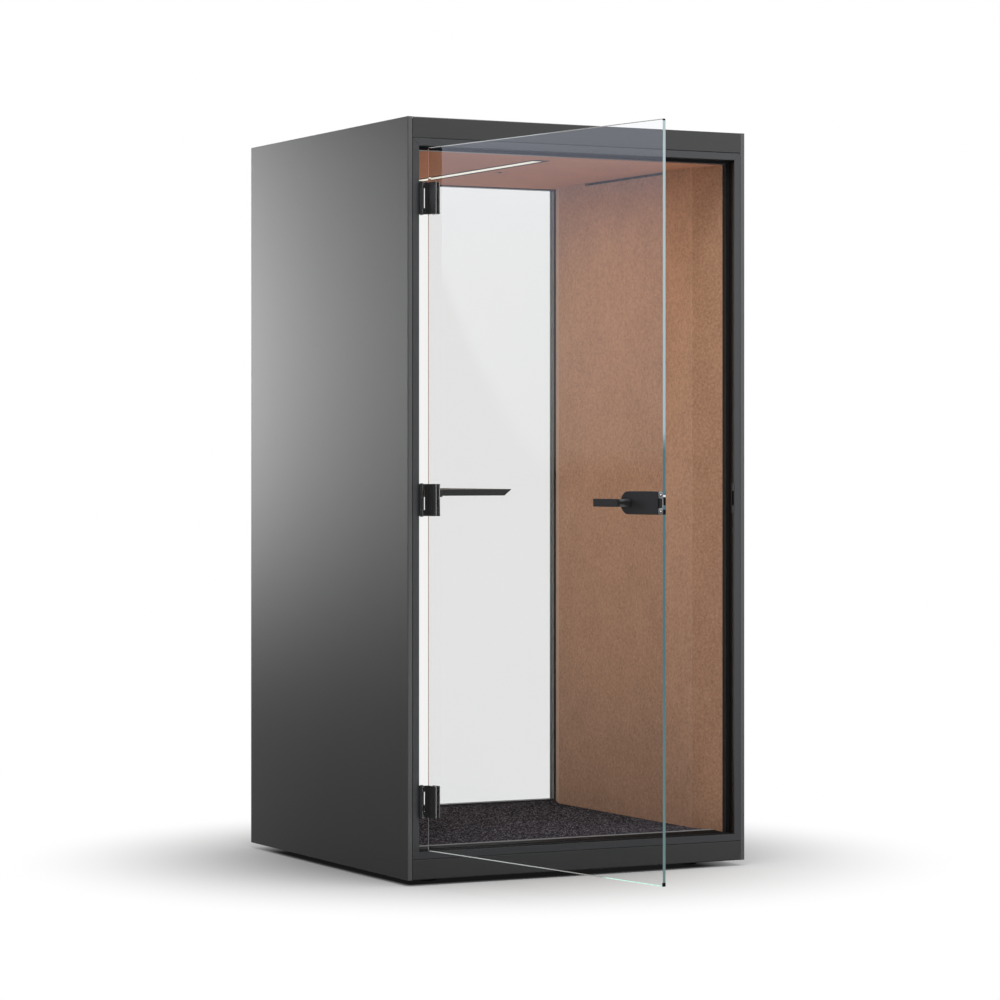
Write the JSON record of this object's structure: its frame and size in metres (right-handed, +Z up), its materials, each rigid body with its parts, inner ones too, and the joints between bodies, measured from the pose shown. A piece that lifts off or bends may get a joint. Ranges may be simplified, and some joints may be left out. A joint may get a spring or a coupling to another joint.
{
  "type": "acoustic office pod",
  "caption": "Solo acoustic office pod with felt-lined walls, a standing desk, a glass back and a frameless glass door on the left, swung open.",
  "frame": {"origin": "on the floor, below the middle of the pod's width and of the whole depth with the door as shown", "axes": "+Z up, +X to the right across the doorway seen from outside, +Y from the doorway to the back glass"},
  "size_m": [1.17, 2.258, 2.286],
  "materials": {
    "anthracite": "satin powder coat",
    "frame": "satin powder coat",
    "rubber": "matte",
    "felt": "pressed felt",
    "core": "mineral fibre",
    "plywood": "raw plywood",
    "carpet": "loop pile",
    "aluminium": "brushed",
    "black_satin": "satin black",
    "steel": "brushed",
    "glass": "clear",
    "diffuser": "opal",
    "desk": "dark laminate",
    "plastic": "moulded black"
  },
  "bodies": {
    "shell": {"base_plinth": "plywood", "floor_deck": "plywood", "floor_carpet": "carpet", "threshold_strip": "aluminium", "front_left_foot": "rubber", "rear_left_foot": "rubber", "front_right_foot": "rubber", "rear_right_foot": "rubber", "left_outer_panel": "anthracite", "left_wall_core": "core", "left_felt_lining": "felt", "right_outer_panel": "anthracite", "right_wall_core": "core", "right_felt_lining": "felt", "top_front_fascia": "anthracite", "top_rear_fascia": "anthracite", "bottom_front_fascia": "anthracite", "bottom_rear_fascia": "anthracite", "ceiling_felt": "felt", "light_channel": "black_satin", "light_diffuser": "diffuser", "motion_sensor": "plastic", "roof_panel": "anthracite", "fan_housing": "plastic", "power_inlet": "plastic", "left_jamb": "frame", "right_jamb": "frame", "door_header": "frame", "door_sill": "frame", "door_seal": "rubber", "strike_plate": "black_satin", "rear_left_post": "frame", "rear_right_post": "frame", "rear_head_rail": "frame", "rear_foot_rail": "frame", "rear_glass": "glass", "rear_glazing_bead": "rubber", "desk_top": "desk", "desk_bracket": "black_satin", "lower_hinge_frame_leaf": "black_satin", "lower_hinge_pin": "black_satin", "middle_hinge_frame_leaf": "black_satin", "middle_hinge_pin": "black_satin", "upper_hinge_frame_leaf": "black_satin", "upper_hinge_pin": "black_satin"},
    "door": {"door_glass": "glass", "lower_hinge_outer_clamp": "black_satin", "lower_hinge_inner_plate": "black_satin", "middle_hinge_outer_clamp": "black_satin", "middle_hinge_inner_plate": "black_satin", "upper_hinge_outer_clamp": "black_satin", "upper_hinge_inner_plate": "black_satin", "lock_case": "black_satin", "lock_inner_plate": "black_satin", "latch_faceplate": "steel"},
    "lever": {"outer_lever": "black_satin", "inner_lever": "black_satin", "spindle": "steel"},
    "latch": {"latch_bolt": "black_satin"},
    "fan": {"fan_rotor": "plastic"}
  },
  "joints": [
    {"name": "door_swing", "type": "hinge", "parent": "shell", "child": "door", "pos_m": [-0.543, -0.0493, 1.147], "axis": [0, 0, 1], "range_deg": [-24.8, 80.2]},
    {"name": "handle_turn", "type": "hinge", "parent": "door", "child": "lever", "pos_m": [-0.3516, -0.99289, 1.1475], "axis": [-0.9854, -0.1702, 0], "range_deg": [0, 40], "stiffness_Nm_per_rad": 0.8, "springref_deg": -28.65},
    {"name": "latch_slide", "type": "slide", "parent": "door", "child": "latch", "axis": [-0.1702, 0.9854, 0], "range_m": [0, 0.0115]},
    {"name": "fan_spin", "type": "hinge", "parent": "shell", "child": "fan", "pos_m": [0.25, 0.566, 2.2515], "axis": [0, 0, 1], "continuous": true}
  ],
  "couplings": [
    {"joint": "latch_slide", "follows": "handle_turn", "m_per_rad": 0.0155}
  ]
}
